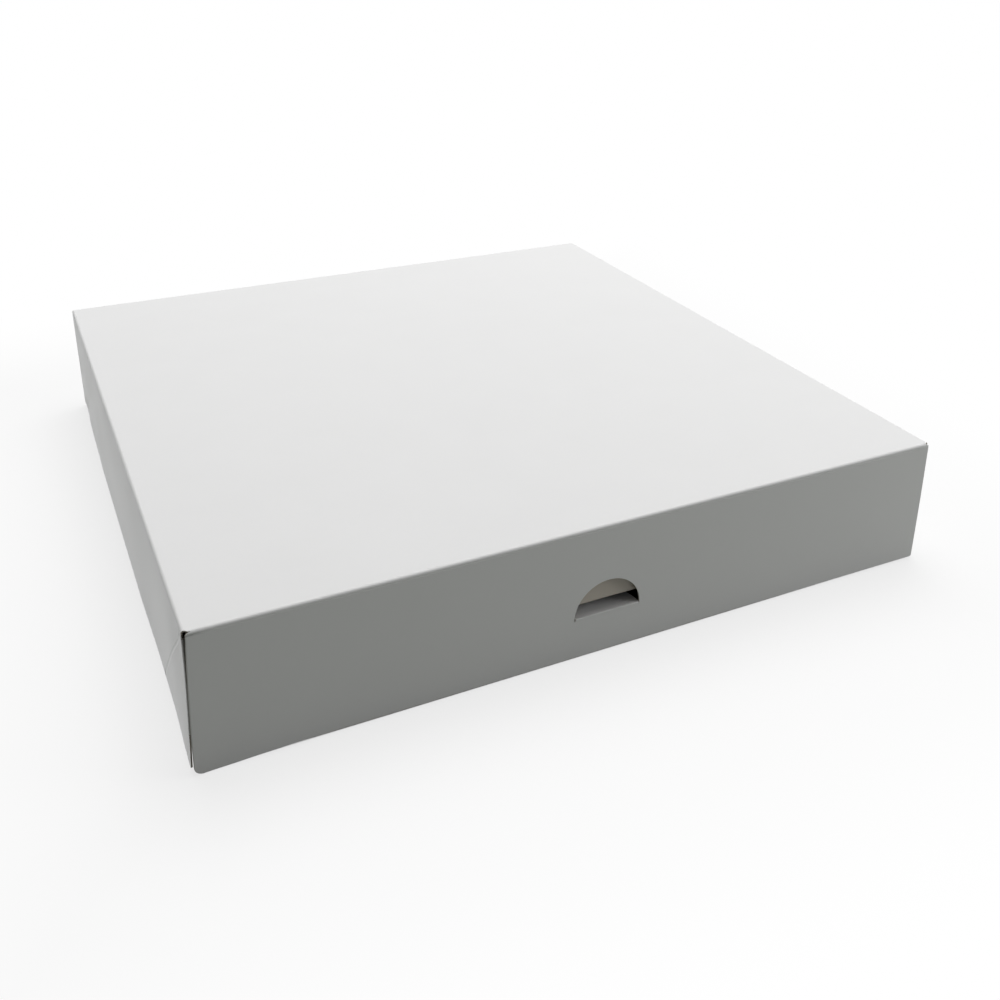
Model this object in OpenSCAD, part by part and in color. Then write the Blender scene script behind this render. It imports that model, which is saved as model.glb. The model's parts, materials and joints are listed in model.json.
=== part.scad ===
// Flat square pastry box, folded and glued from one sheet of white-coated paperboard.
// The origin is at the middle of the footprint, on the ground. +X runs along the front,
// +Y towards the hinge at the back, +Z up.

/* [Box] */
// Width of the closed box, side to side
box_w = 280; // [200:5:420]
// Depth of the closed box, front to back
box_d = 280; // [200:5:420]
// Height of the closed box
box_h = 51; // [46:1:120]

/* [Board] */
// Thickness of the paperboard
board_t = 0.5; // [0.3:0.1:0.8]
// Inside radius of a fold
crease_r = 0.5; // [0.3:0.1:1]
// Width of a diagonal crease
groove_w = 1; // [0.6:0.1:2]
// Depth of a diagonal crease
groove_t = 0.12; // [0.05:0.01:0.2]

/* [Lid] */
// Gap between the lid's flaps and the tray's walls
lid_gap = 0.3; // [0.3:0.1:1]
// Gap between the lid's panel and the tops of the tray's walls
head_gap = 0.3; // [0.3:0.1:1]
// Height of the flaps' lower edges above the ground
flap_lift = 1.8; // [1:0.1:4]
// Radius of the flaps' free corners
flap_corner_r = 3; // [1:0.5:6]

/* [Glued corners] */
// Length of a glue tab, from the corner inwards
tab_w = 16; // [10:1:30]
// Height of the lower ends of the lid's glue tabs above the ground
lid_tab_low = 14; // [6:1:16]
// Height of the lower ends of the tray's glue tabs above the ground
tray_tab_low = 3; // [2:0.5:8]
// Distance from a glue tab's upper end to the top of its wall
tab_down = 3; // [3:0.5:8]
// Narrowing of a glue tab at each end
tab_taper = 3; // [0:0.5:5]
// Distance of a glued wall's raw edge from the corner that it covers
edge_set = 0.9; // [0.5:0.1:2]
// Radius of the round notch that ends the folds at a corner
notch_r = 1.8; // [1:0.1:3]

/* [Lock] */
// Radius of the half moon
moon_r = 12.7; // [8:0.1:16]
// Height of the half moon's straight fold above the ground
moon_z = 16.6; // [12:0.1:20]
// Play between the tongue and the hole that it is cut from
moon_gap = 0.3; // [0.1:0.1:0.6]
// Distance from the fold's axis to the stiff part of the tongue
tongue_start = 0.5; // [0.4:0.1:1]
// Angle that the tongue is pushed in by
tongue_angle = 84; // [75:1:90]
// Height of the slot above the half moon's fold
slot_up = 4.8; // [3:0.1:8]
// Height of the slot below the half moon's fold
slot_down = 2.7; // [2:0.1:5]
// Spare width of the slot on each side of the half moon
slot_side = 1; // [0.5:0.1:4]

/* [Hidden] */
$fn = 64;
fold_r = crease_r + board_t;
front_y = -box_d / 2;
back_y = box_d / 2;
tray_w = box_w - 2 * (board_t + lid_gap);
tray_front_y = front_y + 2 * board_t + lid_gap;
tray_h = box_h - board_t - head_gap;
lid_tab_top = box_h - tab_down;
tray_tab_top = tray_h - tab_down;
slot_w = 2 * (moon_r + slot_side);
slot_z = moon_z - slot_down;
slot_h = slot_up + slot_down;
beyond = 1;
coated = [0.93, 0.93, 0.91];

// A block with two rounded upper corners, standing on z = 0 in the XZ plane
module round_top_2d(w, h, r) {
    translate([-w / 2, 0]) square([w, h - r]);
    translate([-w / 2 + r, 0]) square([w - 2 * r, h]);
    for (side = [-1, 1]) translate([side * (w / 2 - r), h - r]) circle(r);
}

// The outline of a panel with two flaps folded down from it, w wide and h high over all
module channel_2d(w, h) {
    difference() {
        round_top_2d(w, h, fold_r);
        translate([0, -beyond]) round_top_2d(w - 2 * board_t, h - board_t + beyond, crease_r);
    }
}

// The outline of a panel and one flap folded down from it, with the fold at the upper left
module bend_2d(panel, flap) {
    difference() {
        union() {
            translate([fold_r, -flap]) square([panel - fold_r, flap]);
            translate([0, -flap]) square([panel, flap - fold_r]);
            translate([fold_r, -fold_r]) circle(fold_r);
        }
        translate([board_t + crease_r, -flap - beyond]) square([panel, flap - board_t + beyond]);
        translate([board_t, -flap - beyond]) square([panel, flap - fold_r + beyond]);
        translate([fold_r, -fold_r]) circle(crease_r);
    }
}

// Extrudes an XZ outline along Y from y0 to y1
module along_y(y0, y1) {
    translate([0, y1, 0]) rotate([90, 0, 0]) linear_extrude(y1 - y0) children();
}

// Extrudes a YZ outline along X over the width w, centred
module along_x(w) {
    translate([-w / 2, 0, 0]) rotate([90, 0, 90]) linear_extrude(w) children();
}

// A tab that turns the corner from a side wall and lies flat behind a front or back wall.
// The corner's outer planes are x = 0 and y = 0, and the tab runs along +X.
module glue_tab(z0, z1) {
    intersection() {
        translate([0, 0, z0]) linear_extrude(z1 - z0) difference() {
            union() {
                translate([fold_r, fold_r]) circle(fold_r);
                translate([fold_r, 0]) square([tab_w - fold_r, fold_r]);
            }
            translate([fold_r, fold_r]) circle(crease_r);
            translate([fold_r, board_t]) square([tab_w, fold_r]);
            translate([board_t, fold_r]) square([tab_w, fold_r]);
        }
        along_y(-beyond, fold_r + beyond) polygon([
            [-beyond, z0], [fold_r, z0], [tab_w, z0 + tab_taper],
            [tab_w, z1 - tab_taper], [fold_r, z1], [-beyond, z1]
        ]);
    }
}

// Takes away a side wall's square edge where a glue tab turns the corner
module tab_root(z0, z1) {
    translate([-beyond, -beyond, z0]) cube([fold_r + beyond, fold_r + beyond, z1 - z0]);
}

// A shallow diagonal crease in a side wall's outer face x = 0, from the corner y = 0, z = 0
// up and back over the length
module diagonal_crease(length) {
    rotate([45, 0, 0]) translate([-beyond, notch_r, -groove_w / 2])
        cube([beyond + groove_t, length * sqrt(2), groove_w]);
}

// The half moon of radius r in the XZ plane, cut off flat at a height above its centre
module half_moon_2d(r, cut) {
    intersection() {
        circle(r);
        translate([-r, cut]) square([2 * r, r]);
    }
}

// The front flap seen from the front: full width, set back at its sides and rounded below
module front_flap_2d() {
    w = box_w - 2 * edge_set;
    translate([-w / 2, flap_lift + flap_corner_r]) square([w, box_h - flap_lift - flap_corner_r]);
    translate([-w / 2 + flap_corner_r, flap_lift]) square([w - 2 * flap_corner_r, box_h - flap_lift]);
    for (side = [-1, 1]) translate([side * (w / 2 - flap_corner_r), flap_lift + flap_corner_r])
        circle(flap_corner_r);
}

// The lid: top panel, front flap and two side flaps, with the glue tabs behind the front flap
module lid() {
    side_y = front_y + board_t;
    color(coated) difference() {
        union() {
            difference() {
                along_y(side_y, back_y) translate([0, flap_lift]) channel_2d(box_w, box_h - flap_lift);
                for (side = [0, 1]) mirror([side, 0, 0]) translate([-box_w / 2, side_y, 0])
                    tab_root(lid_tab_low, lid_tab_top);
            }
            intersection() {
                along_x(box_w) translate([front_y, box_h]) bend_2d(tab_w, box_h - flap_lift);
                along_y(front_y - beyond, front_y + tab_w + beyond) front_flap_2d();
            }
            for (side = [0, 1]) mirror([side, 0, 0]) translate([-box_w / 2, side_y, 0])
                glue_tab(lid_tab_low, lid_tab_top);
        }
        for (side = [0, 1]) mirror([side, 0, 0]) {
            translate([-box_w / 2, front_y, box_h - notch_r]) cylinder(r = notch_r, h = notch_r + beyond);
            translate([-box_w / 2, front_y, box_h]) mirror([0, 0, 1]) diagonal_crease(box_h);
        }
        translate([0, 0, moon_z]) along_y(front_y - beyond, side_y + board_t / 2) half_moon_2d(moon_r, 0);
    }
}

// The tray: floor and four walls, with the side walls' glue tabs inside the front and back walls
module tray() {
    inner_front_y = tray_front_y + board_t;
    inner_back_y = back_y - board_t;
    mid_y = (tray_front_y + back_y) / 2;
    color(coated) difference() {
        union() {
            difference() {
                along_y(inner_front_y, inner_back_y) translate([0, tray_h]) mirror([0, 1])
                    channel_2d(tray_w, tray_h);
                tray_corners() tab_root(tray_tab_low, tray_tab_top);
            }
            along_x(tray_w - 2 * edge_set) translate([tray_front_y, 0]) mirror([0, 1]) bend_2d(tab_w, tray_h);
            along_x(tray_w - 2 * edge_set) translate([back_y, 0]) rotate(180) bend_2d(tab_w, tray_h);
            tray_corners() glue_tab(tray_tab_low, tray_tab_top);
        }
        for (side = [0, 1], end = [0, 1]) mirror([side, 0, 0]) translate([0, mid_y, 0]) mirror([0, end, 0])
            translate([-tray_w / 2, -(back_y - tray_front_y) / 2, 0]) {
                translate([0, 0, -beyond]) cylinder(r = notch_r, h = notch_r + beyond);
                diagonal_crease(tray_h);
            }
        lock_slot();
    }
}

// Places its children at the tray's four inner corners
module tray_corners() {
    mid_y = (tray_front_y + back_y) / 2;
    half = (back_y - tray_front_y) / 2 - board_t;
    for (side = [0, 1], end = [0, 1]) mirror([side, 0, 0]) translate([0, mid_y, 0]) mirror([0, end, 0])
        translate([-tray_w / 2, -half, 0]) children();
}

// The slot in the tray's front wall that the tongue reaches through, with round ends
module lock_slot() {
    end_r = slot_h / 2;
    translate([0, 0, slot_z + end_r]) along_y(tray_front_y - beyond, tray_front_y + board_t + beyond) union() {
        square([slot_w - slot_h, slot_h], center = true);
        for (side = [-1, 1]) translate([side * (slot_w / 2 - end_r), 0]) circle(end_r);
    }
}

// The half-moon tongue, pushed in on its straight fold through the slot
module lock_tongue() {
    color(coated) translate([0, front_y + board_t / 2, moon_z]) rotate([-tongue_angle, 0, 0])
        along_y(-board_t / 2, board_t / 2) half_moon_2d(moon_r - moon_gap, tongue_start);
}

tray();
lid();
lock_tongue();
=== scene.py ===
"""A flat pastry box, folded and glued from one sheet of white-coated paperboard.

Each part of the box is drawn as a flat blank, cut out with its holes and notches, and then folded.
A blank's point is (u, v): u runs along the front and v towards the hinge, with the coated side up.
"""

import json
import math

import bpy
import numpy as np
from mathutils import Matrix, Vector
from mathutils.geometry import delaunay_2d_cdt


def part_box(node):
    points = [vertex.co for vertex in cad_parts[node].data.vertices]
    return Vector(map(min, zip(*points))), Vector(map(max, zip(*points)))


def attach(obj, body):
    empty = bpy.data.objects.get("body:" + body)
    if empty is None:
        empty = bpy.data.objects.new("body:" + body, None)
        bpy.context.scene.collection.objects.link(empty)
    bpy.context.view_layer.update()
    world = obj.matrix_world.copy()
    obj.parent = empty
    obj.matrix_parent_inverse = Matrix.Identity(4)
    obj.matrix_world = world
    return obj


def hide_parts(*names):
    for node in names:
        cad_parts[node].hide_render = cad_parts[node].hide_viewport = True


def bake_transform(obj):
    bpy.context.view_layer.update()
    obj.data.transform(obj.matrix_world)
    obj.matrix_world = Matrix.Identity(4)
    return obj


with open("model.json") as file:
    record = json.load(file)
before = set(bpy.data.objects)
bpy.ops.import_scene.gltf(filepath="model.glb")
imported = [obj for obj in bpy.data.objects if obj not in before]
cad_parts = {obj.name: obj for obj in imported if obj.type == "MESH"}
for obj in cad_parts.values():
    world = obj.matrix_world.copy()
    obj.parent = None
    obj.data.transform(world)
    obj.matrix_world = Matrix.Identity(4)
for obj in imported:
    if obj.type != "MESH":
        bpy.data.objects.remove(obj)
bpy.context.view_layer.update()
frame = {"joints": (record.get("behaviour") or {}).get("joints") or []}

MM = 0.001
BOARD = 0.5 * MM
FOLD_R = 1.0 * MM
QUARTER = math.pi / 2 * FOLD_R

lid_low, lid_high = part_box("lid")
tray_low, tray_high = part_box("tray")
joints = {joint["name"]: joint for joint in frame["joints"]}

BOX_W = lid_high.x - lid_low.x
BOX_H = lid_high.z
FRONT_Y = lid_low.y
BACK_Y = lid_high.y
TRAY_W = tray_high.x - tray_low.x
TRAY_H = tray_high.z
TRAY_FRONT_Y = tray_low.y

# The half moon: its straight fold, its radius and the angle that it is pushed in by
MOON_Z = joints["tongue_fold"]["pos_m"][2]
MOON_Y = joints["tongue_fold"]["pos_m"][1]
MOON_R = 12.7 * MM
MOON_PLAY = 0.3 * MM
MOON_ANGLE = math.radians(joints["tongue_fold"]["range_deg"][1])
MOON_CREASE = 0.5 * MM
MOON_NICK = 0.14 * MM
MOON_STEPS = 48

# The lid's cuts, and how far ahead of the corner its diagonal creases start
SIDE_SET = 1.2 * MM
CREASE_SHIFT = 1.5 * MM
LID_TAB_TOP = 48 * MM
LID_TAB_LOW = 14 * MM
TAB_W = 16 * MM
TAB_TAPER = 3 * MM
TAB_SLIT = 0.3 * MM

# The tray's cuts
TRAY_EDGE_SET = 1.2 * MM
TRAY_TAB_TOP = TRAY_H - 3 * MM
TRAY_TAB_LOW = 3 * MM
SLOT_UP = 4.0 * MM
SLOT_DOWN = 2.7 * MM
SLOT_SIDE = 1.0 * MM

# The long crease at the back, which joins the tray and the lid
HINGE_R = 1.2 * MM


def smooth(t):
    """0 below 0, 1 above 1, and an even rise between them."""
    t = np.clip(t, 0, 1)
    return t * t * (3 - 2 * t)


def hump(x, low, high):
    """1 halfway between low and high, falling evenly to 0 at both and staying there."""
    t = np.clip((x - low) / (high - low), 0, 1)
    return np.sin(math.pi * t) ** 2


def curve_through(places, heights, x):
    """A smooth curve through points, level at each of them and beyond both ends."""
    x = np.clip(x, places[0], places[-1])
    left = np.clip(np.searchsorted(places, x) - 1, 0, len(places) - 2)
    share = smooth((x - places[left]) / (places[left + 1] - places[left]))
    return heights[left] + (heights[left + 1] - heights[left]) * share


def steps(low, high, pitch):
    """Evenly spaced numbers from low to high, about a pitch apart."""
    count = max(1, round((high - low) / pitch))
    return list(np.linspace(low, high, count + 1))


def arc(centre, radius, start, end, count):
    """Points on a circle from one angle to another, in degrees."""
    angles = np.radians(np.linspace(start, end, count + 1))
    return [(centre[0] + radius * math.cos(a), centre[1] + radius * math.sin(a)) for a in angles]


def mirrored(points):
    """The same points on the other side of the middle, in the opposite order."""
    return [(-u, v) for u, v in reversed(points)]


def inside(points, loop):
    """Which of the points lie inside a closed loop."""
    u, v = points[:, 0], points[:, 1]
    within = np.zeros(len(points), bool)
    for (u0, v0), (u1, v1) in zip(loop, loop[1:] + loop[:1]):
        crosses = (v0 > v) != (v1 > v)
        if v0 != v1:
            within ^= crosses & (u < (u1 - u0) * (v - v0) / (v1 - v0) + u0)
    return within


def cut_blank(outline, holes, u_lines, v_lines, creases):
    """Triangles of a flat blank, with its grid lines and creases kept as edges. Returns both."""
    scale = 1 / MM
    points, edges = [], []
    for loop in [outline, *holes]:
        first = len(points)
        points += [Vector((u * scale, v * scale)) for u, v in loop]
        edges += [(first + i, first + (i + 1) % len(loop)) for i in range(len(loop))]
    for path in creases:
        first = len(points)
        points += [Vector((u * scale, v * scale)) for u, v in path]
        edges += [(first + i, first + i + 1) for i in range(len(path) - 1)]
    first = len(points)
    rows = len(v_lines)
    points += [Vector((u * scale, v * scale)) for u in u_lines for v in v_lines]
    for i in range(len(u_lines)):
        for j in range(rows):
            here = first + i * rows + j
            if j + 1 < rows:
                edges.append((here, here + 1))
            if i + 1 < len(u_lines):
                edges.append((here, here + rows))
    made = delaunay_2d_cdt(points, edges, [], 0, 1e-4)
    flat = np.array([tuple(p) for p in made[0]]) * MM
    triangles = np.array([tuple(t) for t in made[2]])
    middles = flat[triangles].mean(axis=1)
    keep = inside(middles, outline)
    for hole in holes:
        keep &= ~inside(middles, hole)
    triangles = triangles[keep]
    a, b, c = (flat[triangles[:, k]] for k in range(3))
    turn = (b[:, 0] - a[:, 0]) * (c[:, 1] - a[:, 1]) - (b[:, 1] - a[:, 1]) * (c[:, 0] - a[:, 0])
    triangles[turn < 0] = triangles[turn < 0][:, ::-1]
    triangles = triangles[np.abs(turn) > 1e-14]
    used, where = np.unique(triangles, return_inverse=True)
    return flat[used], where.reshape(-1, 3)


def sheet_normals(surface, flat):
    """Each point's direction out of the coated side, from the surface's own slope."""
    step = 0.002 * MM
    along_u = surface(flat + (step, 0)) - surface(flat - (step, 0))
    along_v = surface(flat + (0, step)) - surface(flat - (0, step))
    normals = np.cross(along_u, along_v)
    return normals / np.linalg.norm(normals, axis=1)[:, None]


def rim_of(triangles):
    """The directed edges that only one triangle has."""
    edges = np.concatenate([triangles[:, [0, 1]], triangles[:, [1, 2]], triangles[:, [2, 0]]])
    have = {tuple(edge) for edge in edges.tolist()}
    return [edge for edge in edges.tolist() if (edge[1], edge[0]) not in have]


def board_mesh(name, outer, inner, outer_normals, inner_normals, triangles, face):
    """A closed sheet of board: the coated side, the reverse behind it, and the cut edge."""
    count = len(outer)
    rim = rim_of(triangles)
    faces = triangles.tolist()
    faces += (triangles[:, ::-1] + count).tolist()
    faces += [(b, a, a + count, b + count) for a, b in rim]
    mesh = bpy.data.meshes.new(name)
    mesh.from_pydata(np.concatenate([outer, inner]).tolist(), [], faces)
    side = np.zeros(len(faces), np.int32)
    side[len(triangles):] = 1
    side[2 * len(triangles):] = 2
    mesh.polygons.foreach_set("material_index", side)
    mesh.polygons.foreach_set("use_smooth", np.ones(len(faces), bool))
    corners = [outer_normals[i] for t in triangles for i in t]
    corners += [-inner_normals[i] for t in triangles for i in t[::-1]]
    for a, b in rim:
        across = np.cross(outer[b] - outer[a], inner_normals[a] + inner_normals[b])
        corners += [across / np.linalg.norm(across)] * 4
    mesh.normals_split_custom_set(np.array(corners).tolist())
    piece = bpy.data.objects.new(name, mesh)
    bpy.context.scene.collection.objects.link(piece)
    for finish in (face, grey_reverse(), cut_edge()):
        mesh.materials.append(finish)
    return piece


def no_tags(flat):
    """For a blank with only one part."""
    return None


def no_relief(flat, tag):
    """For a coated side with nothing pressed into it."""
    return 0.0


def folded_board(name, outline, holes, u_lines, v_lines, surface, tag_of=no_tags, relief=no_relief,
                 creases=(), face=None):
    """A blank that is cut out and folded. surface gives the place of each point of the coated side,
    and relief how deep it is pressed in there, which doesn't show on the reverse."""
    flat, triangles = cut_blank(outline, holes, u_lines, v_lines, creases)
    tag = tag_of(flat)

    def plain(points):
        return surface(points, tag)

    def pressed(points):
        depth = np.reshape(relief(points, tag), (-1, 1))
        return plain(points) - sheet_normals(plain, points) * depth

    inner_normals = sheet_normals(plain, flat)
    inner = plain(flat) - inner_normals * BOARD
    outer = pressed(flat)
    outer_normals = sheet_normals(pressed, flat)
    face = face or coated_white()
    return board_mesh(name, outer, inner, outer_normals, inner_normals, triangles, face)


def fold(s, radius):
    """Where a point s past the start of a square fold comes to lie: how far out and down."""
    angle = np.clip(s / radius, 0, math.pi / 2)
    out = radius * np.sin(angle) + np.minimum(s, 0)
    down = radius * (1 - np.cos(angle)) + np.maximum(s - radius * math.pi / 2, 0)
    return out, down


def past_fold(height, radius):
    """The flat length of a flap that hangs by this height, from where its fold starts."""
    return math.pi / 2 * radius + height - radius


# The lid: its panel is a little narrower than the box, because the side flaps spring outwards
PANEL_HALF = BOX_W / 2 - 0.8 * MM
CORNER_R = 0.6 * MM
LID_FRONT_V = FRONT_Y + FOLD_R
LID_SIDE_U = PANEL_HALF - FOLD_R
LID_SIDE_V = FRONT_Y + SIDE_SET
LID_CORNER_V = LID_SIDE_V + CORNER_R
LID_BACK_V = BACK_Y - HINGE_R
LID_SIDE_BACK_V = BACK_Y - 0.3 * MM
SIDE_LOW_Z = 1.8 * MM

# Half the width of the lid's front flap at several heights: it follows the side flaps outwards
FLAP_HALF_Z = np.array([0, 6, 15, 28, 40, 51]) * MM
FLAP_HALF_LEFT = np.array([140.1, 140.1, 139.85, 139.35, 138.8, 138.2]) * MM
FLAP_HALF_RIGHT = np.array([139.8, 139.8, 139.7, 139.5, 139.2, 138.9]) * MM
FLAP_WIDEST = 140.1 * MM

# How far the side flaps' lower edges spring outwards, from front to back
SPRING_Y = np.array([-140, -105, -85, -40, 55, 90, 138]) * MM
SPRING_OUT = np.array([1.7, 0.85, 0.8, 1.25, 1.25, 0.85, 0.1]) * MM

# How far the panel sags, the front flap bows in, and a die presses the board at a cut edge
PANEL_SAG = 0.35 * MM
PANEL_RIPPLE = 0.08 * MM
FRONT_BOW = 0.30 * MM
CORNER_BOW = 0.12 * MM
PRESS_DEPTH = 0.16 * MM
PRESS_W = 0.32 * MM

# Width and depth of the diagonal creases, and of the score line below the front flap's fold
DIAGONAL_W, DIAGONAL_DEPTH = 1.8 * MM, 0.16 * MM
SCORE_W, SCORE_DEPTH = 0.7 * MM, 0.11 * MM
CREASE_START = 3 * MM

# How far a glue tab dips behind the corner, and how far it is pressed against the flap
TAB_DIP = 1.3 * MM
TAB_PRESS = 1.2 * MM

# Height of the front flap's lower edge above the ground, from left to right
FLAP_EDGE_X = np.array([-139, -132, -118, -104, -84, -30, 40, 84, 112, 139]) * MM
FLAP_EDGE_Z = np.array([0.3, 0.5, 0.9, 1.3, 1.3, 1.1, 1.2, 1.1, 1.0, 0.9]) * MM


def front_v(z):
    """The blank's v of a height on the lid's front flap."""
    return LID_FRONT_V - past_fold(BOX_H - z, FOLD_R)


def side_u(z):
    """The blank's u of a height on the lid's right side flap."""
    return LID_SIDE_U + past_fold(BOX_H - z, FOLD_R)


def crease_groove(distance, width, depth):
    """How deep a scored line of this width lies in the surface, at a distance from its middle."""
    return depth * smooth(1 - np.abs(distance) / (width / 2))


def panel_sag(x, y):
    """How far the lid's panel hangs below its edges."""
    across = hump(x, -PANEL_HALF, PANEL_HALF)
    along = hump(y, FRONT_Y, BACK_Y)
    ripple = hump(x, -90 * MM, 60 * MM) * hump(y, -120 * MM, 20 * MM)
    return PANEL_SAG * across * along + PANEL_RIPPLE * ripple


def front_bow(x, drop):
    """How far the front flap curves in below its fold."""
    whole = FRONT_BOW * hump(x, -150 * MM, 150 * MM)
    near_corner = CORNER_BOW * hump(x, -125 * MM, -60 * MM)
    return smooth(drop / BOX_H) * (whole + near_corner)


def cut_edge_press(distance):
    """How far the die presses the coated side in, at a distance from a cut edge."""
    return PRESS_DEPTH * np.clip(1 - distance / PRESS_W, 0, 1) ** 1.3


def flap_half(u, v):
    """Half the front flap's width at the blank's v, on the side of the middle that u is on."""
    z = BOX_H - (LID_FRONT_V - v - QUARTER + FOLD_R)
    left = np.interp(z, FLAP_HALF_Z, FLAP_HALF_LEFT)
    return np.where(u < 0, left, np.interp(z, FLAP_HALF_Z, FLAP_HALF_RIGHT))


def tab_recess(inwards):
    """How far behind the corner a glue tab lies: it dips, and then meets the back of the flap."""
    dip = TAB_DIP * smooth(inwards / (1.6 * MM))
    reach = (LID_SIDE_V - FRONT_Y - BOARD) + TAB_PRESS
    return dip - reach * smooth((inwards - 2.5 * MM) / (10 * MM))


def side_spring(y, drop):
    """How far a side flap springs out below its fold."""
    corner = smooth((FRONT_Y + 30 * MM - y) / (30 * MM))
    free = 1 - np.exp(-np.maximum(drop, 0) / (9 * MM))
    held = smooth(np.maximum(drop, 0) / (2 * BOX_H)) * 2
    return curve_through(SPRING_Y, SPRING_OUT, y) * (free + (held - free) * corner)


# The left side flap's two dents: their depth, and their heights at several distances from the back
BUCKLE_DEPTH = 0.85 * MM
BUCKLE_BACK = np.array([0, 50, 70, 84, 93, 112, 140]) * MM
BUCKLE_LOW_Z = np.array([0, 24, 33, 37, 38, 40, 42]) * MM
BUCKLE_HIGH_Z = np.array([22, 38, 44, 49, 51, 54, 58]) * MM


def side_buckle(x, y, drop):
    """The soft dents in the left side flap towards the hinge."""
    back = BACK_Y - y
    z = BOX_H - drop
    fade = smooth(drop / (5 * MM)) * smooth((120 * MM - back) / (50 * MM)) * (x < 0)
    low_line = (z - np.interp(back, BUCKLE_BACK, BUCKLE_LOW_Z)) / (5.5 * MM)
    high_line = (z - np.interp(back, BUCKLE_BACK, BUCKLE_HIGH_Z)) / (5 * MM)
    dent = np.exp(-low_line ** 2) + 0.7 * np.exp(-high_line ** 2)
    held = smooth((back + 2 * MM) / (20 * MM))
    return BUCKLE_DEPTH * fade * held * dent


PANEL, FRONT, SIDE, TAB = range(4)


def lid_tags(flat):
    """Which part of the lid each point of its blank belongs to."""
    u, v = np.abs(flat[:, 0]), flat[:, 1]
    tag = np.full(len(flat), PANEL)
    tag[u > LID_SIDE_U] = SIDE
    on_tab = (u > side_u(LID_TAB_TOP)) & (u < side_u(LID_TAB_LOW)) & (v < LID_CORNER_V)
    tag[on_tab] = TAB
    tag[(v < LID_FRONT_V) & (u < FLAP_WIDEST + 0.01 * MM)] = FRONT
    return tag


def lid_surface(flat, tag):
    """The folded place of each point on the lid's coated side."""
    u, v = flat[:, 0], flat[:, 1]
    side = np.where(u < 0, -1.0, 1.0)
    out, drop = fold(np.abs(u) - LID_SIDE_U, FOLD_R)
    spring = side_spring(v, drop) - side_buckle(u, v, drop)
    x = side * (LID_SIDE_U + out + np.where(drop > 0, spring, 0))
    y = v.copy()
    z = BOX_H - drop
    z -= np.where(drop > 0, 0, panel_sag(u, v))

    tab = tag == TAB
    ahead, inwards = fold(LID_CORNER_V - v[tab], CORNER_R)
    y[tab] = LID_CORNER_V - ahead + tab_recess(inwards)
    x[tab] -= side[tab] * inwards

    front = tag == FRONT
    ahead, drop = fold(LID_FRONT_V - v[front], FOLD_R)
    x[front] = u[front]
    y[front] = LID_FRONT_V - ahead + front_bow(u[front], drop)
    z[front] = BOX_H - drop
    return np.stack([x, y, z], axis=1)


def lid_relief(flat, tag):
    """How deep the lid's coated side is pressed in, at cut edges, scores and diagonal creases."""
    u, v = np.abs(flat[:, 0]), flat[:, 1]
    past_side = u - LID_SIDE_U
    past_front = LID_FRONT_V - v
    diagonal = (past_side - (v - LID_FRONT_V) - CREASE_SHIFT) / math.sqrt(2)
    on_side = (tag == SIDE) & (past_side > QUARTER + CREASE_START)
    deep = crease_groove(diagonal, DIAGONAL_W, DIAGONAL_DEPTH) * on_side
    on_front = (tag == FRONT) & (past_front > QUARTER)
    deep += crease_groove(past_front - QUARTER - SCORE_W / 2, SCORE_W, SCORE_DEPTH) * on_front
    deep += cut_edge_press(flap_half(flat[:, 0], v) - u) * on_front
    return deep


def moon_hole():
    """The half moon's hole in the front flap, with the flap's fold below its straight side."""
    low = front_v(MOON_Z - MOON_CREASE)
    chord = front_v(MOON_Z)
    angles = np.linspace(0, math.pi, MOON_STEPS + 1)
    curve = [(MOON_R * math.cos(a), chord + MOON_R * math.sin(a)) for a in angles]
    end = low - 2 * MOON_NICK
    left = [(-MOON_R, end), (-MOON_R + MOON_NICK, end), (-MOON_R + MOON_NICK, low)]
    return curve + left + mirrored(left)


def lid_half_outline(halves, low_z, corner_r, cut_w, cut_h):
    """Half of the lid's outline, drawn on the right, from the front flap's lower corner backwards.
    Given are the flap's half widths, its lower end, its corner's radius, and the width and height
    of the relief cut at the end of its fold."""
    low = front_v(low_z)
    wide = halves[0]
    path = arc((wide - corner_r, low + corner_r), corner_r, -90, 0, 8)
    path += [(half, front_v(z)) for z, half in zip(FLAP_HALF_Z, halves) if 6 * MM < z < 45 * MM]
    shoulder = (halves[-1] - cut_w, LID_FRONT_V - QUARTER - 0.5 * MM)
    path += [(shoulder[0] + cut_w * math.cos(a), shoulder[1] + cut_h * math.sin(a))
             for a in np.linspace(0, math.pi / 2, 10)]
    path += [(min(shoulder[0] + 0.9 * MM, LID_SIDE_U - 0.6 * MM), LID_FRONT_V - 0.62 * MM)]
    path += [(LID_SIDE_U - 0.5 * MM, LID_FRONT_V - 0.35 * MM)]
    path += [(LID_SIDE_U - 0.05 * MM, LID_FRONT_V + 0.02 * MM)]
    path += [(LID_SIDE_U + 0.5 * MM, LID_SIDE_V)]
    path += [(side_u(LID_TAB_TOP), LID_SIDE_V)]
    root = LID_CORNER_V + 0.2 * MM
    end = LID_CORNER_V - past_fold(TAB_W, CORNER_R)
    bent = LID_CORNER_V - math.pi / 2 * CORNER_R
    top, low = side_u(LID_TAB_TOP), side_u(LID_TAB_LOW)
    path += [(top, root), (top + TAB_SLIT, root), (top + TAB_SLIT, bent), (top + TAB_TAPER, end)]
    path += [(low - TAB_TAPER, end), (low - TAB_SLIT, bent), (low - TAB_SLIT, root), (low, root)]
    path += [(low, LID_SIDE_V)]
    bottom = side_u(SIDE_LOW_Z)
    radius = 1.5 * MM
    path += arc((bottom - radius, LID_SIDE_V + radius), radius, -90, 0, 5)
    path += arc((bottom - radius, LID_SIDE_BACK_V - radius), radius, 0, 90, 5)
    path += [(LID_SIDE_U + 1.2 * MM, LID_SIDE_BACK_V), (LID_SIDE_U - 0.2 * MM, LID_BACK_V)]
    return path


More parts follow.
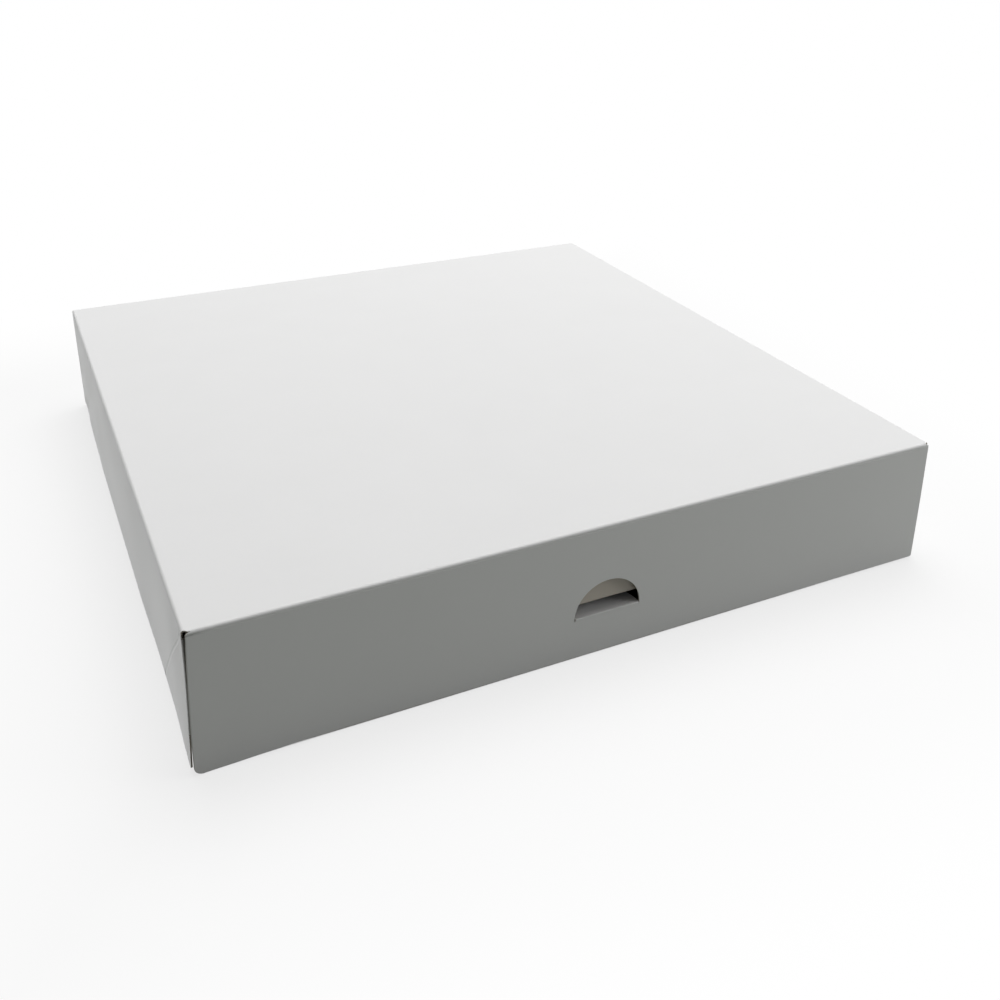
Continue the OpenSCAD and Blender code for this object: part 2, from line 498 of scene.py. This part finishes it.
def side_creases():
    """Lines beside the diagonal creases, from the front's top corners down and back."""
    start = QUARTER + CREASE_START
    end = past_fold(BOX_H - SIDE_LOW_Z, FOLD_R) - 1 * MM
    lines = []
    for offset in (-1.3, -0.9, -0.45, 0, 0.45, 0.9, 1.3):
        high = (LID_SIDE_U + start, LID_FRONT_V + start - CREASE_SHIFT + offset * MM)
        low = (LID_SIDE_U + end, LID_FRONT_V + end - CREASE_SHIFT + offset * MM)
        lines += [[high, low], [(-high[0], high[1]), (-low[0], low[1])]]
    return lines


def edge_lines():
    """Lines beside the front flap's side edges, where the die presses the board."""
    lines = []
    for inset in (0.08, 0.16, 0.24, 0.32, 0.6):
        for way in (-1, 1):
            places = [front_v(z * MM) for z in (4, 6, 15, 28, 40, 45, 49.3)]
            lines.append([(way * float(flap_half(way, v) - inset * MM), v) for v in places])
    return lines


def make_lid():
    """The lid's board, folded from its blank."""
    right = lid_half_outline(FLAP_HALF_RIGHT, FLAP_EDGE_Z[-1], 1.0 * MM, 0.6 * MM, 0.8 * MM)
    left = lid_half_outline(FLAP_HALF_LEFT, FLAP_EDGE_Z[0], 2.6 * MM, 1.8 * MM, 1.3 * MM)
    bottom = [(x, front_v(curve_through(FLAP_EDGE_X, FLAP_EDGE_Z, x)))
              for x in steps(-135 * MM, 137 * MM, 4 * MM)]
    outline = bottom + right + mirrored(left)
    fold_rows = steps(LID_SIDE_U, LID_SIDE_U + QUARTER, 0.2 * MM)
    flap_rows = steps(LID_SIDE_U + QUARTER, side_u(SIDE_LOW_Z), 3.5 * MM)[1:]
    u_side = fold_rows + flap_rows
    u_lines = [-u for u in reversed(u_side)] + steps(-LID_SIDE_U, LID_SIDE_U, 7 * MM)[1:-1] + u_side
    v_tab = steps(LID_CORNER_V, LID_CORNER_V - math.pi / 2 * CORNER_R, 0.18 * MM)
    v_front = steps(LID_FRONT_V - QUARTER, LID_FRONT_V, 0.2 * MM)
    v_score = steps(LID_FRONT_V - QUARTER - 1 * MM, LID_FRONT_V - QUARTER, 0.12 * MM)[:-1]
    v_flap = steps(front_v(1 * MM), v_score[0], 4 * MM)[:-1]
    v_panel = steps(LID_CORNER_V, LID_BACK_V, 5 * MM)[1:]
    v_lines = sorted(v_flap + v_score + v_front + [v for v in v_tab if v > LID_FRONT_V] + v_panel)
    creases = side_creases() + edge_lines()
    return folded_board("lid_board", outline, [moon_hole()], u_lines, v_lines,
                        lid_surface, lid_tags, lid_relief, creases)


# The tray: drawn from below, because its coated side is the outside
TRAY_HALF = TRAY_W / 2 - 0.5 * MM
TRAY_FRONT = TRAY_FRONT_Y + 0.5 * MM
TRAY_FRONT_V = TRAY_FRONT + FOLD_R
TRAY_BACK_V = BACK_Y - FOLD_R
TRAY_SIDE_U = TRAY_HALF - FOLD_R
TRAY_TURN_V = TRAY_FRONT + BOARD + 0.1 * MM
TRAY_BACK_TURN_V = BACK_Y - BOARD - 0.1 * MM
WALL_HALF = TRAY_HALF - TRAY_EDGE_SET
HINGE_HALF = WALL_HALF - 0.2 * MM
FLOOR, FRONT_WALL, BACK_WALL, SIDE_WALL, FRONT_TAB, BACK_TAB = range(6)


def wall_u(z):
    """The blank's u of a height on the tray's side wall."""
    return TRAY_SIDE_U + past_fold(z, FOLD_R)


def tray_tags(flat):
    """Which part of the tray each point of its blank belongs to."""
    u, v = np.abs(flat[:, 0]), flat[:, 1]
    tag = np.full(len(flat), FLOOR)
    tag[u > TRAY_SIDE_U] = SIDE_WALL
    on_tab = (u > wall_u(TRAY_TAB_LOW)) & (u < wall_u(TRAY_TAB_TOP))
    tag[on_tab & (v < TRAY_TURN_V + CORNER_R)] = FRONT_TAB
    tag[on_tab & (v > TRAY_BACK_TURN_V - CORNER_R)] = BACK_TAB
    on_wall = u < WALL_HALF + 0.01 * MM
    tag[on_wall & (v < TRAY_FRONT_V)] = FRONT_WALL
    tag[on_wall & (v > TRAY_BACK_V)] = BACK_WALL
    return tag


def tray_give(place):
    """The tray's small departures from square: its front bulges below and gives way behind the
    tongue and the lid's tabs, its corners lift, and its sides bow in."""
    x, y, z = place.T
    low = 1 - smooth(z / (45 * MM))
    ahead = smooth((-y - 95 * MM) / (40 * MM))
    middle = 1 - smooth((np.abs(x) - 100 * MM) / (36 * MM))
    bulge = 0.85 * MM * middle * low * ahead
    bulge += 0.45 * MM * middle * (1 - smooth((z - 0.6 * MM) / (1.4 * MM))) * ahead
    behind_moon = 1.2 * MM * hump(x, -70 * MM, 70 * MM) * smooth((z - 3 * MM) / (11 * MM)) * ahead
    behind_tab = 1.5 * MM * smooth((np.abs(x) - 116 * MM) / (14 * MM)) * ahead
    bulge -= behind_moon + behind_tab
    out_x, out_y = (smooth((np.abs(at) - 80 * MM) / (60 * MM)) for at in (x, y))
    lift = 0.3 * MM * out_x * out_y
    at_side = smooth((np.abs(x) - 130 * MM) / (8 * MM))
    side_bow = 0.4 * MM * hump(y, -130 * MM, 130 * MM) * at_side * smooth(z / BOX_H)
    return np.stack([x - np.sign(x) * side_bow, y - bulge, z + lift * low], axis=1)


def tray_surface(flat, tag):
    """The folded place of each point on the tray's coated side."""
    u, v = flat[:, 0], flat[:, 1]
    side = np.where(u < 0, -1.0, 1.0)
    out, rise = fold(np.abs(u) - TRAY_SIDE_U, FOLD_R)
    x = side * (TRAY_SIDE_U + out)
    y = v.copy()
    z = rise.copy()
    ends = ((FRONT_TAB, TRAY_TURN_V + CORNER_R, -1), (BACK_TAB, TRAY_BACK_TURN_V - CORNER_R, 1))
    for name, start, way in ends:
        tab = tag == name
        ahead, inwards = fold(way * (v[tab] - start), CORNER_R)
        y[tab] = start + way * ahead
        x[tab] -= side[tab] * inwards
    walls = ((FRONT_WALL, TRAY_FRONT_V, -1), (BACK_WALL, TRAY_BACK_V, 1))
    for name, start, way in walls:
        wall = tag == name
        ahead, rise = fold(way * (v[wall] - start), FOLD_R)
        x[wall] = u[wall]
        y[wall] = start + way * ahead
        z[wall] = rise
    return tray_give(np.stack([-x, y, z], axis=1))


def wall_v(z):
    """The blank's v of a height on the tray's front wall."""
    return TRAY_FRONT_V - past_fold(z, FOLD_R)


def lock_slot():
    """The slot in the tray's front wall that the tongue reaches through, with round corners."""
    low, high = wall_v(MOON_Z + SLOT_UP), wall_v(MOON_Z - SLOT_DOWN)
    radius = 1.2 * MM
    reach = MOON_R + SLOT_SIDE - radius
    right = arc((reach, low + radius), radius, -90, 0, 6)
    right += arc((reach, high - radius), radius, 0, 90, 6)
    return right + mirrored(right)


def tab_path(low, high, turn, way):
    """A side wall's glue tab, from its lower end to its upper end, past the corner at turn."""
    root = turn - way * (CORNER_R + 0.2 * MM)
    bent = turn - way * CORNER_R + way * math.pi / 2 * CORNER_R
    end = turn - way * CORNER_R + way * past_fold(TAB_W, CORNER_R)
    return [(low, turn), (low, root), (low + TAB_SLIT, root), (low + TAB_SLIT, bent),
            (low + TAB_TAPER, end), (high - TAB_TAPER, end), (high - TAB_SLIT, bent),
            (high - TAB_SLIT, root), (high, root), (high, turn)]


def make_tray():
    """The tray's board, folded from its blank."""
    top = wall_v(TRAY_H)
    back_top = TRAY_BACK_V + past_fold(BOX_H - HINGE_R, FOLD_R)
    edge = wall_u(TRAY_H)
    low, high = wall_u(TRAY_TAB_LOW), wall_u(TRAY_TAB_TOP)
    notch = 0.9 * MM
    radius = 2 * MM
    right = arc((WALL_HALF - radius, top + radius), radius, -90, 0, 6)
    right += [(WALL_HALF, TRAY_FRONT_V - notch), (WALL_HALF - notch, TRAY_FRONT_V - 0.1 * MM)]
    right += [(TRAY_SIDE_U - 0.2 * MM, TRAY_TURN_V + notch), (TRAY_SIDE_U + QUARTER, TRAY_TURN_V)]
    right += tab_path(low, high, TRAY_TURN_V, -1)
    right += [(edge, TRAY_TURN_V), (edge, TRAY_BACK_TURN_V)]
    right += tab_path(low, high, TRAY_BACK_TURN_V, 1)[::-1]
    right += [(TRAY_SIDE_U + QUARTER, TRAY_BACK_TURN_V)]
    right += [(TRAY_SIDE_U - 0.2 * MM, TRAY_BACK_TURN_V - notch)]
    right += [(WALL_HALF - notch, TRAY_BACK_V + 0.1 * MM), (WALL_HALF, TRAY_BACK_V + notch)]
    right += [(WALL_HALF, back_top)]
    outline = right + mirrored(right)
    wall_rows = steps(TRAY_SIDE_U, TRAY_SIDE_U + QUARTER, 0.25 * MM)
    wall_rows += steps(TRAY_SIDE_U + QUARTER, edge, 5 * MM)[1:]
    floor_rows = steps(-TRAY_SIDE_U, TRAY_SIDE_U, 7 * MM)[1:-1]
    u_lines = [-u for u in reversed(wall_rows)] + floor_rows + wall_rows
    bend = [0.18 * MM * k for k in range(7)]
    v_front = [TRAY_TURN_V + CORNER_R - b for b in bend]
    v_front += steps(TRAY_FRONT_V - QUARTER, TRAY_FRONT_V, 0.25 * MM)
    v_back = [TRAY_BACK_TURN_V - CORNER_R + b for b in bend]
    v_back += steps(TRAY_BACK_V, TRAY_BACK_V + QUARTER, 0.25 * MM)
    v_lines = steps(top, TRAY_FRONT_V - QUARTER - 1 * MM, 4 * MM) + v_front
    v_lines += steps(TRAY_FRONT_V + 3 * MM, TRAY_BACK_V - 3 * MM, 7 * MM)
    v_lines += v_back + steps(TRAY_BACK_V + QUARTER + 1 * MM, back_top, 4 * MM)
    v_lines = thinned(v_lines)
    return folded_board("tray_board", outline, [lock_slot()], u_lines, v_lines,
                        tray_surface, tray_tags, face=tray_white())


def thinned(lines):
    """Sorted grid lines without those that lie almost on one another."""
    kept = []
    for line in sorted(lines):
        if not kept or line - kept[-1] > 0.02 * MM:
            kept.append(line)
    return kept


def make_back_fold():
    """The long crease at the back that the lid turns on."""
    length = math.pi / 2 * HINGE_R
    outline = [(-HINGE_HALF, 0), (HINGE_HALF, 0), (HINGE_HALF, length), (-HINGE_HALF, length)]

    def surface(flat, tag):
        angle = flat[:, 1] / HINGE_R
        y = BACK_Y - HINGE_R + HINGE_R * np.cos(angle)
        z = BOX_H - HINGE_R + HINGE_R * np.sin(angle)
        return np.stack([-flat[:, 0], y, z], axis=1)

    u_lines = steps(-HINGE_HALF, HINGE_HALF, 9 * MM)
    v_lines = steps(0, length, 0.16 * MM)
    return folded_board("back_fold", outline, [], u_lines, v_lines, surface)


# How far the tongue's tip curls from its root
TONGUE_CURL = 0.35 * MM


def pushed_in(y, z, turn):
    """A point beside the tongue's fold, given from the fold's axis, turned inwards by an angle."""
    return (MOON_Y + y * np.cos(turn) + z * np.sin(turn),
            MOON_Z - y * np.sin(turn) + z * np.cos(turn))


def make_tongue():
    """The stiff part of the half-moon tongue, pushed in on its fold."""
    radius = MOON_R - MOON_PLAY
    start = math.asin(MOON_CREASE / radius)
    angles = np.linspace(start, math.pi - start, 41)
    outline = [(radius * math.cos(a), radius * math.sin(a)) for a in angles]

    def surface(flat, tag):
        curl = TONGUE_CURL * (flat[:, 1] / radius) ** 2
        y, z = pushed_in(curl - BOARD / 2, flat[:, 1], MOON_ANGLE)
        return np.stack([flat[:, 0], y, z], axis=1)

    u_lines = steps(-radius, radius, 1.5 * MM)
    v_lines = steps(MOON_CREASE, radius, 1.5 * MM)
    return folded_board("tongue_board", outline, [], u_lines, v_lines, surface)


# The tongue's fold bends evenly between these two points, which lie either side of its axis
BISECTOR = np.array([math.sin(MOON_ANGLE / 2), math.cos(MOON_ANGLE / 2)])
CREASE_REACH = MOON_CREASE * math.cos(MOON_ANGLE / 2)


def crease_turn(y, z):
    """How far each point beside the fold is turned, so that it lies flat when the tongue does."""
    low, high = np.zeros_like(z), np.ones_like(z)
    for _ in range(40):
        share = (low + high) / 2
        at_y, at_z = pushed_in(y, z, share * MOON_ANGLE)
        along = (at_y - MOON_Y) * BISECTOR[0] + (at_z - MOON_Z) * BISECTOR[1]
        more = smooth(along / (2 * CREASE_REACH) + 0.5) > share
        low, high = np.where(more, share, low), np.where(more, high, share)
    return share


def make_tongue_crease():
    """The bent strip between the front flap and the tongue."""
    half = math.sqrt((MOON_R - MOON_PLAY) ** 2 - MOON_CREASE ** 2)
    outline = [(-half, -MOON_CREASE), (half, -MOON_CREASE),
               (half, MOON_CREASE), (-half, MOON_CREASE)]

    def surface(flat, tag):
        y = np.full(len(flat), -BOARD / 2)
        share = crease_turn(y, flat[:, 1])
        at_y, at_z = pushed_in(y, flat[:, 1], share * MOON_ANGLE)
        return np.stack([flat[:, 0], at_y, at_z], axis=1)

    u_lines = steps(-half, half, 2 * MM)
    v_lines = steps(-MOON_CREASE, MOON_CREASE, 0.1 * MM)
    return folded_board("tongue_crease", outline, [], u_lines, v_lines, surface)


class Value:
    """A number that varies over a surface. Arithmetic on it adds Math nodes to its material."""

    def __init__(self, recipe, socket):
        self.recipe = recipe
        self.socket = socket

    def _with(self, operation, first, second):
        settings = {"operation": operation}
        return self.recipe.add("ShaderNodeMath", settings, {0: first, 1: second})["Value"]

    def __add__(self, other): return self._with("ADD", self, other)
    def __radd__(self, other): return self._with("ADD", other, self)
    def __sub__(self, other): return self._with("SUBTRACT", self, other)
    def __rsub__(self, other): return self._with("SUBTRACT", other, self)
    def __mul__(self, other): return self._with("MULTIPLY", self, other)
    def __rmul__(self, other): return self._with("MULTIPLY", other, self)


def whole_colour(colour):
    """A colour as a socket takes it: with a fourth number, or as it is where it varies."""
    return colour if isinstance(colour, Value) else (*colour, 1)


class Recipe:
    """A material or a world that is put together from nodes."""

    def __init__(self, owner):
        self.owner = owner
        owner.use_nodes = True
        self.tree = owner.node_tree
        self.tree.nodes.clear()

    def add(self, kind, settings, values):
        """Adds a node: its settings first, then its sockets' values or links. Gives its outputs."""
        node = self.tree.nodes.new(kind)
        for name, setting in settings.items():
            setattr(node, name, setting)
        for name, value in values.items():
            if isinstance(value, Value):
                self.tree.links.new(value.socket, node.inputs[name])
            else:
                node.inputs[name].default_value = value
        return {socket.name: Value(self, socket) for socket in node.outputs if socket.enabled}

    def place(self):
        """The place on the object, in metres."""
        return self.add("ShaderNodeTexCoord", {}, {})["Object"]

    def stretched(self, by):
        """The place on the object, scaled by three numbers."""
        settings = {"operation": "MULTIPLY"}
        return self.add("ShaderNodeVectorMath", settings, {0: self.place(), 1: by})["Vector"]

    def noise(self, by, detail=2.0, roughness=0.5):
        """A soft random pattern between 0 and 1, with so many lumps to the metre each way."""
        settings = {"noise_dimensions": "3D"}
        values = {"Scale": 1.0, "Detail": detail, "Roughness": roughness}
        values["Vector"] = self.stretched(by)
        return self.add("ShaderNodeTexNoise", settings, values)["Fac"]

    def between(self, share, first, second):
        """A colour from first to second, as share goes from 0 to 1."""
        settings = {"data_type": "RGBA", "clamp_factor": True}
        values = {0: share, 6: whole_colour(first), 7: whole_colour(second)}
        return self.add("ShaderNodeMix", settings, values)["Result"]

    def rise(self, value, low, high):
        """0 up to low, 1 from high on, and an even rise between them."""
        settings = {"clamp": True, "interpolation_type": "SMOOTHSTEP"}
        values = {"Value": value, "From Min": low, "From Max": high}
        return self.add("ShaderNodeMapRange", settings, values)["Result"]

    def ramp(self, value, low, high):
        """0 at low, 1 at high, and a straight rise between them."""
        values = {"Value": value, "From Min": low, "From Max": high}
        return self.add("ShaderNodeMapRange", {"clamp": True}, values)["Result"]

    def larger(self, first, second):
        """The larger of two numbers."""
        return self.add("ShaderNodeMath", {"operation": "MAXIMUM"}, {0: first, 1: second})["Value"]

    def size_of(self, value):
        """A number without its sign."""
        return self.add("ShaderNodeMath", {"operation": "ABSOLUTE"}, {0: value})["Value"]

    def relief(self, height, depth):
        """A bumped normal, from a height between 0 and 1 that stands for a depth in metres."""
        values = {"Height": height, "Strength": 1.0, "Distance": depth}
        return self.add("ShaderNodeBump", {}, values)["Normal"]

    def finish(self, values):
        """Ends the material with a Principled shader."""
        made = self.add("ShaderNodeBsdfPrincipled", {}, values)
        self.add("ShaderNodeOutputMaterial", {}, {"Surface": made["BSDF"]})
        return self.owner


def once(make):
    """Makes a material the first time that it is asked for, and gives the same one after that."""
    kept = []

    def ask():
        if not kept:
            kept.append(make())
        return kept[0]

    return ask


# Colours, each given as the darker and the paler of a pair that the finish runs between
COAT_DARK, COAT_PALE = (0.842, 0.842, 0.838), (0.882, 0.882, 0.880)
# The next colour is painted shade, not a coating: a darker, brownish tone for the shaded recess
# behind the half-moon hole
PAINTED_RECESS_SHADE = (0.58, 0.525, 0.455)
REVERSE_DARK, REVERSE_PALE = (0.33, 0.29, 0.235), (0.47, 0.43, 0.365)
FLECK = (0.17, 0.14, 0.10)
EDGE_DARK, EDGE_PALE = (0.52, 0.47, 0.41), (0.70, 0.65, 0.58)

# Depths of the finishes' relief
COAT_GRAIN = 0.006 * MM
FIBRE_DEPTH = 0.03 * MM
RAGGED_DEPTH = 0.04 * MM


def coated(name, painted_shade_share):
    """Clay-coated white board: satin, faintly mottled, with the paper's grain just showing.
    The second argument gives how far painted shade darkens the white towards a brownish tone at
    each place, where the shading isn't the same all over."""
    r = Recipe(bpy.data.materials.new(name))
    cloud = r.noise((45, 45, 45), 3.0)
    grain = r.noise((500, 1500, 1500), 3.0, 0.6)
    fine = r.noise((3200, 3200, 3200), 2.0)
    colour = r.between(cloud * 0.6 + grain * 0.4, COAT_DARK, COAT_PALE)
    height = grain * 0.7 + fine * 0.3
    # Painted shade: the white is darkened towards a brownish tone where the share says
    if painted_shade_share:
        colour = r.between(painted_shade_share(r), colour, PAINTED_RECESS_SHADE)
    return r.finish({
        "Base Color": colour,
        "Roughness": 0.25 + 0.08 * cloud + 0.05 * grain,
        "IOR": 1.48,
        "Normal": r.relief(height, COAT_GRAIN),
    })


@once
def coated_white():
    """The board's coated side, all of it white."""
    return coated("coated_white_board", None)


def front_wall_painted_shade(r):
    """1 on the tray's front wall, which the lid's flap covers and where the painted shade goes, and
    0 elsewhere.
    """
    parts = r.add("ShaderNodeSeparateXYZ", {}, {"Vector": r.place()})
    raised = r.ramp(parts["Z"], 0.5 * MM, 1.5 * MM)
    return raised * r.ramp(parts["Y"], TRAY_FRONT_Y + 8 * MM, TRAY_FRONT_Y + 5 * MM)


@once
def tray_white():
    """The tray's outside: white, with painted shade on the front wall behind the lid's flap, darker
    and brownish, standing for the shade and warm bounce in the recess.
    """
    return coated("tray_white_board", front_wall_painted_shade)


@once
def grey_reverse():
    """The uncoated back of the board: matte, grey-brown, with fibres and flecks."""
    r = Recipe(bpy.data.materials.new("grey_board_reverse"))
    fibre = r.noise((260, 1700, 1700), 4.0, 0.65)
    fleck = r.noise((900, 900, 900), 1.0)
    flecked = r.ramp(fleck, 0.68, 0.78) * 0.5
    plain = r.between(fibre, REVERSE_DARK, REVERSE_PALE)
    return r.finish({
        "Base Color": r.between(flecked, plain, FLECK),
        "Roughness": 0.82 + 0.12 * fibre,
        "Specular IOR Level": 0.3,
        "Normal": r.relief(fibre, FIBRE_DEPTH),
    })


@once
def cut_edge():
    """The board's raw cut edge: tan, matte and a little ragged."""
    r = Recipe(bpy.data.materials.new("cut_board_edge"))
    ragged = r.noise((2500, 2500, 4000), 3.0, 0.7)
    return r.finish({
        "Base Color": r.between(ragged, EDGE_DARK, EDGE_PALE),
        "Roughness": 0.85 + 0.1 * ragged,
        "Specular IOR Level": 0.25,
        "Normal": r.relief(ragged, RAGGED_DEPTH),
    })


def dress_box():
    """Every piece of the box: the tray, the lid and the tongue ride on their bodies, and the back
    fold and the tongue's crease stay in place.
    """
    tray = make_tray()
    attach(tray, "tray")
    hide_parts("tray")
    lid = make_lid()
    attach(lid, "lid")
    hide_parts("lid")
    tongue = make_tongue()
    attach(tongue, "tongue")
    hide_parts("lock_tongue")
    back = make_back_fold()
    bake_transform(back)
    crease = make_tongue_crease()
    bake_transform(crease)


WHITE = (1, 1, 1, 1)

# The sky's level for everything but the eye and reflections, and the floor's colour as a source of
# bounced light and as the eye sees it
SKY_LEVEL = 0.09
FLOOR_BOUNCE = (0.235, 0.254, 0.225, 1)
FLOOR_NEAR = (0.93, 0.93, 0.93, 1)

# How much of the shadow is cleared beside the box
CLEAR_SHADOW = 0.75

# Where the floor turns pale to the eye and in reflections, and where the shadow fades out, each as
# two shares of the box's width from its middle
EYE_EDGE = (0.4935, 0.497)
MIRROR_EDGE = (0.4985, 0.5015)
SHADOW_FADE = (0.52, 1.0)
FLOOR_HALF = 4.0
FLOOR_Z = -0.1 * MM


def backdrop_world():
    """A white surround for the eye and for reflections, and a plain dim sky for the rest."""
    r = Recipe(bpy.data.worlds.new("surround"))
    path = r.add("ShaderNodeLightPath", {}, {})
    seen = r.larger(path["Is Camera Ray"], path["Is Glossy Ray"])
    strength = SKY_LEVEL + (1 - SKY_LEVEL) * seen
    sky = r.add("ShaderNodeBackground", {}, {"Color": WHITE, "Strength": strength})["Background"]
    r.add("ShaderNodeOutputWorld", {}, {"Surface": sky})
    bpy.context.scene.world = r.owner


def pale_floor():
    """The surface that the box stands on."""
    mesh = bpy.data.meshes.new("floor")
    corners = [(-1, -1), (1, -1), (1, 1), (-1, 1)]
    points = [(x * FLOOR_HALF, y * FLOOR_HALF, FLOOR_Z) for x, y in corners]
    mesh.from_pydata(points, [], [(0, 1, 2, 3)])
    ground = bpy.data.objects.new("floor", mesh)
    bpy.context.scene.collection.objects.link(ground)
    r = Recipe(bpy.data.materials.new("pale_floor"))
    path = r.add("ShaderNodeLightPath", {}, {})
    glossy = path["Is Glossy Ray"]
    seen = r.larger(path["Is Camera Ray"], glossy)
    parts = r.add("ShaderNodeSeparateXYZ", {}, {"Vector": r.place()})
    away = r.larger(r.size_of(parts["X"]), r.size_of(parts["Y"]))
    pale = CLEAR_SHADOW * r.rise(away, *(BOX_W * share for share in EYE_EDGE))
    mirrored_pale = glossy * r.rise(away, *(BOX_W * share for share in MIRROR_EDGE))
    far = pale + (1 - pale) * r.rise(away, *(BOX_W * share for share in SHADOW_FADE))
    own = r.add("ShaderNodeBsdfDiffuse", {}, {"Color": FLOOR_BOUNCE})["BSDF"]
    glow = r.add("ShaderNodeEmission", {}, {"Color": WHITE, "Strength": 1.0})["Emission"]
    shown = r.add("ShaderNodeBsdfDiffuse", {}, {"Color": FLOOR_NEAR})["BSDF"]
    share = r.larger(far, mirrored_pale)
    both = r.add("ShaderNodeMixShader", {}, {0: share, 1: shown, 2: glow})["Shader"]
    mixed = r.add("ShaderNodeMixShader", {}, {0: seen, 1: own, 2: both})["Shader"]
    r.add("ShaderNodeOutputMaterial", {}, {"Surface": mixed})
    mesh.materials.append(r.owner)


def soft_lamp(name, place, size, power):
    """A square lamp, turned towards the lid. It lights the box but isn't mirrored in it."""
    light = bpy.data.lights.new(name, "AREA")
    light.shape = "SQUARE"
    light.size = size
    light.energy = power
    lamp = bpy.data.objects.new(name, light)
    lamp.location = place
    lamp.visible_glossy = False
    lamp.rotation_mode = "QUATERNION"
    lamp.rotation_quaternion = (Vector((0, 0, BOX_H)) - Vector(place)).to_track_quat("-Z", "Y")
    bpy.context.scene.collection.objects.link(lamp)


# Each lamp's place in metres, its width in metres and its power in watts
OVERHEAD = ((0.25, 0.42, 1.6), 1.4, 25.2)
RIGHT_FILL = ((0.9, -0.47, 0.3), 0.5, 3.0)


def light_box():
    """Soft light from above and behind, and a weak one from the right of the front."""
    backdrop_world()
    soft_lamp("overhead", *OVERHEAD)
    soft_lamp("right_fill", *RIGHT_FILL)


# The photograph's camera: its lens, its shift, its place and the ways that its picture faces
LENS = 39.963
LENS_SHIFT = -0.15
NEAREST = 0.01
CAMERA_PLACE = (-0.17007, -0.40715, 0.24352)
CAMERA_RIGHT = Vector((0.90316, -0.42917, 0.01028))
CAMERA_DOWN = Vector((-0.15664, -0.35174, -0.9229))
CAMERA_AHEAD = Vector((0.3997, 0.83192, -0.38491))


def photo_camera():
    """A camera at the photograph's place, with its tilt and its shifted lens."""
    data = bpy.data.cameras.new("camera")
    data.lens = LENS
    data.shift_y = LENS_SHIFT
    data.clip_start = NEAREST
    camera = bpy.data.objects.new("camera", data)
    turned = Matrix((CAMERA_RIGHT, -CAMERA_DOWN, -CAMERA_AHEAD)).transposed()
    camera.rotation_mode = "QUATERNION"
    camera.rotation_quaternion = turned.to_quaternion()
    camera.location = CAMERA_PLACE
    bpy.context.scene.collection.objects.link(camera)
    bpy.context.scene.camera = camera


bpy.context.scene.view_settings.view_transform = "Standard"
photo_camera()
dress_box()
pale_floor()
light_box()
